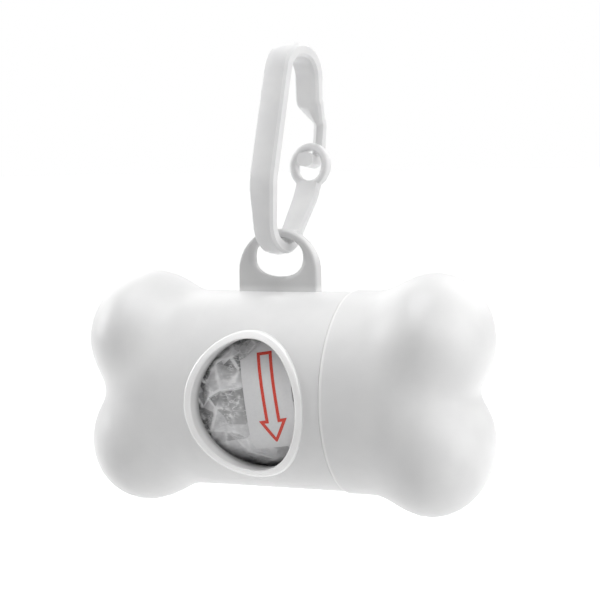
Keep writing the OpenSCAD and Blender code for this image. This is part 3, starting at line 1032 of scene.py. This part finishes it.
    def creases(self, along: np.ndarray, across: np.ndarray) -> np.ndarray:
        """Fine creases over the facets: triangle waves in many directions, bent by a slow swirl.

        Args:
            along: Distance of each point along the roll, in millimetres.
            across: Its distance round the roll.

        Returns:
            The height of each point, from -1 to 1.
        """
        rng = np.random.default_rng(self.seed + 1)
        broad, fine = self.swirl, self.swirl / 2
        x = along + broad * np.sin(0.9 * across + 1.3) + fine * np.sin(2.1 * along + 1.7 * across)
        y = across + broad * np.sin(1.1 * along + 0.4) + fine * np.sin(2.3 * across - 1.3 * along)
        total = np.zeros_like(x)
        for _ in range(self.crease_waves):
            heading = rng.uniform(0, math.pi)
            length = rng.uniform(*self.crease_lengths)
            run = (x * math.cos(heading) + y * math.sin(heading)) / length + rng.uniform(0, 1)
            total += length * np.abs(run % 1 - 0.5)
        total -= total.mean()
        return total / np.abs(total).max()

    def build(self) -> bpy.types.Object:
        """Cuts the net fine, creases it, rolls it up and gives it the film's thickness.

        Returns:
            The finished film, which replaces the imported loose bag.
        """
        piece = self.net()
        activate(piece)
        bpy.ops.object.mode_set(mode="EDIT")
        bpy.ops.mesh.select_all(action="SELECT")
        bpy.ops.mesh.subdivide(number_cuts=self.cuts)
        bpy.ops.object.mode_set(mode="OBJECT")
        along, across, height = vertices(piece).T
        height = self.crumple(piece, along, across, height)
        place_vertices(piece, self.surface.wrap(along * MM, across * MM, height * MM))
        bpy.ops.object.mode_set(mode="EDIT")
        bpy.ops.mesh.select_all(action="SELECT")
        bpy.ops.mesh.remove_doubles(threshold=self.merge)
        bpy.ops.mesh.normals_make_consistent(inside=False)
        bpy.ops.object.mode_set(mode="OBJECT")
        apply_modifier(piece, "SOLIDIFY", thickness=self.thickness, offset=0.0)
        bpy.ops.object.shade_smooth_by_angle(angle=math.radians(self.smooth))
        dress(piece, self.finish.material(), Body.ROLL)
        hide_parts("loose_bag")
        return piece

    def crumple(self, piece: bpy.types.Object, along: np.ndarray, across: np.ndarray,
                height: np.ndarray) -> np.ndarray:
        """Creases the film where it is loose, and stores its fold sharpness and its height for the finish's
        painted highlight and painted shade.

        Args:
            piece: The flat net, cut fine.
            along: Distance of each vertex along the roll, in millimetres.
            across: Its distance round the roll.
            height: Its height above the roll.

        Returns:
            The new heights.
        """
        over = height > self.over_band
        loose = np.clip(self.band_distance(along, across) / self.loosening, 0, 1)
        loose = np.where(over, np.maximum(loose, self.lap_loose), loose)
        free = np.clip((self.half_turn - np.abs(across)) / self.seam_fade, 0, 1)
        share = self.crease_pressed + (1 - self.crease_pressed) * loose
        creased = height + self.crease * self.creases(along, across) * share * free
        self.mark_ridges(piece, height + self.crease_mark * (creased - height))
        lowest = np.where(over, self.lap_lowest, self.lowest)
        highest = np.where(loose > 0, self.highest, self.pressed + self.pressed_spread)
        height = np.clip(creased, lowest, highest)
        # the film's height, for the finish's painted shade by height
        store(piece.data, "height_shade", "POINT", np.clip((height - self.lift_low) / self.lift_range, 0, 1))
        return height

    def mark_ridges(self, piece: bpy.types.Object, height: np.ndarray) -> None:
        """Stores how sharply each vertex stands over its neighbours, from 0 in a valley to 1 on a ridge, for
        the finish's painted highlight.

        Args:
            piece: The flat net, cut fine.
            height: The height of each vertex.
        """
        ends = np.zeros(len(piece.data.edges) * 2, dtype=int)
        piece.data.edges.foreach_get("vertices", ends)
        ends = ends.reshape(-1, 2)
        total, count = np.zeros(len(height)), np.zeros(len(height))
        for one, other in (ends.T, ends.T[::-1]):
            np.add.at(total, one, height[other])
            np.add.at(count, one, 1)
        over = height - total / np.maximum(count, 1)
        spread = over.copy()
        for one, other in (ends.T, ends.T[::-1]):
            np.maximum.at(spread, one, 0.5 * over[other])
        store(piece.data, "ridge", "POINT", np.clip(0.5 + spread / self.ridge, 0, 1))


def finish_node(name: str, material: bpy.types.Material) -> None:
    """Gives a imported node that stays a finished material.

    Args:
        name: The node.
        material: Its finish.
    """
    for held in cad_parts[name].material_slots:
        held.material = material
    log.info("%s keeps its packed shape with %s", name, material.name)


# ---------- Studio ----------


def direction(azimuth: float, elevation: float) -> Vector:
    """Unit vector out of the dispenser, at degrees from the front to the cap's end and above the level."""
    turn, rise = math.radians(azimuth), math.radians(elevation)
    return Vector((math.sin(turn) * math.cos(rise), -math.cos(turn) * math.cos(rise), math.sin(rise)))


@dataclass
class Softbox:
    """A square lamp that faces the dispenser. Its azimuth runs from the front to the cap's end."""

    name: str
    azimuth: float
    elevation: float
    power: float
    distance: float = 0.6
    size: float = 0.4

    def build(self, target: Vector) -> None:
        """Adds the lamp at its place from the target, turned to it.

        Args:
            target: The point that the lamp faces.
        """
        back = direction(self.azimuth, self.elevation)
        data = bpy.data.lights.new(self.name, "AREA")
        data.size = self.size
        data.energy = self.power
        lamp = bpy.data.objects.new(self.name, data)
        lamp.visible_camera = False
        bpy.context.scene.collection.objects.link(lamp)
        lamp.location = target + self.distance * back
        lamp.rotation_euler = back.to_track_quat("Z", "Y").to_euler()


@dataclass
class Studio:
    """A white room: pale floor, soft lamps and the camera."""

    middle: Vector
    camera_place: tuple = (130.2 * MM, -304.4 * MM, 42.8 * MM)
    azimuth: float = 22.81
    elevation: float = 4.42
    roll: float = -0.93
    lens: float = 103.6
    sensor: float = 36.0
    nearest: float = 10 * MM
    floor_drop: float = 75 * MM
    floor_size: float = 60.0
    floor_lit: float = 0.12
    floor_glow: float = 0.43
    floor_cloud: float = 0.4
    floor_whites: tuple = ((0.80, 0.80, 0.80), (0.82, 0.82, 0.82))
    lamps: tuple = (
        Softbox("lamp_top", 0, 88, 1.61),
        Softbox("lamp_top_front", 15, 60, 0.90),
        Softbox("lamp_left", -80, 22, 1.74),
        Softbox("lamp_right", 110, 12, 1.24),
        Softbox("lamp_front_right", 75, 35, 0.82),
        Softbox("lamp_back_left", -130, 30, 0.50),
        Softbox("lamp_back_right", 160, 30, 0.62),
    )

    def build(self) -> None:
        """Adds the camera, the floor, the world and the lamps."""
        self.add_camera()
        self.add_floor()
        self.light_world()
        for lamp in self.lamps:
            lamp.build(self.middle)
        bpy.context.scene.view_settings.view_transform = "Standard"

    def add_camera(self) -> None:
        """Adds the camera, its place measured from the middle of the dispenser."""
        back = direction(self.azimuth, self.elevation)
        right = direction(self.azimuth + 90, 0)
        roll = math.radians(self.roll)
        up = back.cross(right)
        axes = Matrix((math.cos(roll) * right + math.sin(roll) * up,
                       math.cos(roll) * up - math.sin(roll) * right, back)).transposed()
        camera = bpy.data.objects.new("camera", bpy.data.cameras.new("camera"))
        camera.data.sensor_width = self.sensor
        camera.data.lens = self.lens
        camera.data.clip_start = self.nearest
        camera.matrix_world = Matrix.Translation(self.middle + Vector(self.camera_place)) @ axes.to_4x4()
        bpy.context.scene.collection.objects.link(camera)
        bpy.context.scene.camera = camera

    def add_floor(self) -> None:
        """Adds a pale floor well below the dispenser, which hangs. It is clear from underneath."""
        bpy.ops.mesh.primitive_plane_add(size=self.floor_size)
        floor = bpy.context.object
        floor.name = "floor"
        level = self.middle - Vector((0, 0, self.floor_drop))
        place_vertices(floor, vertices(floor) + np.array(level))
        graph = Surface("floor_white")
        away = graph.node("ShaderNodeVectorMath", {"operation": "DISTANCE"},
                          {0: graph.coordinates, 1: tuple(level)}, "Value")
        glow = self.floor_glow + (1 - self.floor_glow) * away.between(self.floor_lit / 2, 2 * self.floor_lit)
        under = graph.node("ShaderNodeNewGeometry", {}, {}, "Backfacing")
        floor.data.materials.append(graph.paint(
            Base_Color=graph.blend(graph.noise(self.floor_cloud, 2.0), *self.floor_whites),
            Roughness=0.9,
            Alpha=1 - under,
            Emission_Color=(1.0, 1.0, 1.0, 1.0),
            Emission_Strength=graph.seen() * glow,
        ))

    def light_world(self) -> None:
        """Sets a surround that is white where it is seen or mirrored, and gives no other light."""
        world = bpy.data.worlds.new("surround")
        bpy.context.scene.world = world
        world.use_nodes = True
        graph = Graph(world.node_tree)
        surround = world.node_tree.nodes["Background"]
        graph.feed(surround.inputs["Strength"], graph.seen())
        graph.feed(surround.inputs["Color"], (1.0, 1.0, 1.0, 1.0))


def main() -> None:
    """Builds the studio, the mouldings and the roll."""
    logging.basicConfig(level=logging.INFO, format="%(message)s")
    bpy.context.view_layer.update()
    surface = RollSurface()
    Studio(surface.middle).build()
    housing = HousingPlastic("housing_plastic", middle=tuple(surface.middle))
    clip_plastic = MouldedPlastic(
        "clip_plastic", colour=(0.85, 0.85, 0.85), shade=(0.81, 0.81, 0.815), roughness=0.32, flow=5 * MM)
    Moulding("shell", "housing_shell", Body.SHELL, Slot.HOUSING, housing).build()
    Moulding("cap", "housing_cap", Body.CAP, Slot.HOUSING, housing).build()
    Moulding("clip", "snap_clip", Body.CLIP, Slot.CLIP, clip_plastic).build()
    Moulding("gate", "clip_gate", Body.GATE, Slot.CLIP, clip_plastic).build()
    film = BagFilm("bag_film")
    finish_node("roll_core", Cardboard("core_board").material())
    finish_node("bag_roll", film.material())
    band = PaperBand(surface, Paper("band_paper"))
    band.build()
    Arrow(surface, band, Ink("arrow_ink")).build()
    LooseBag(surface, band, film).build()


if __name__ == "__main__":
    main()
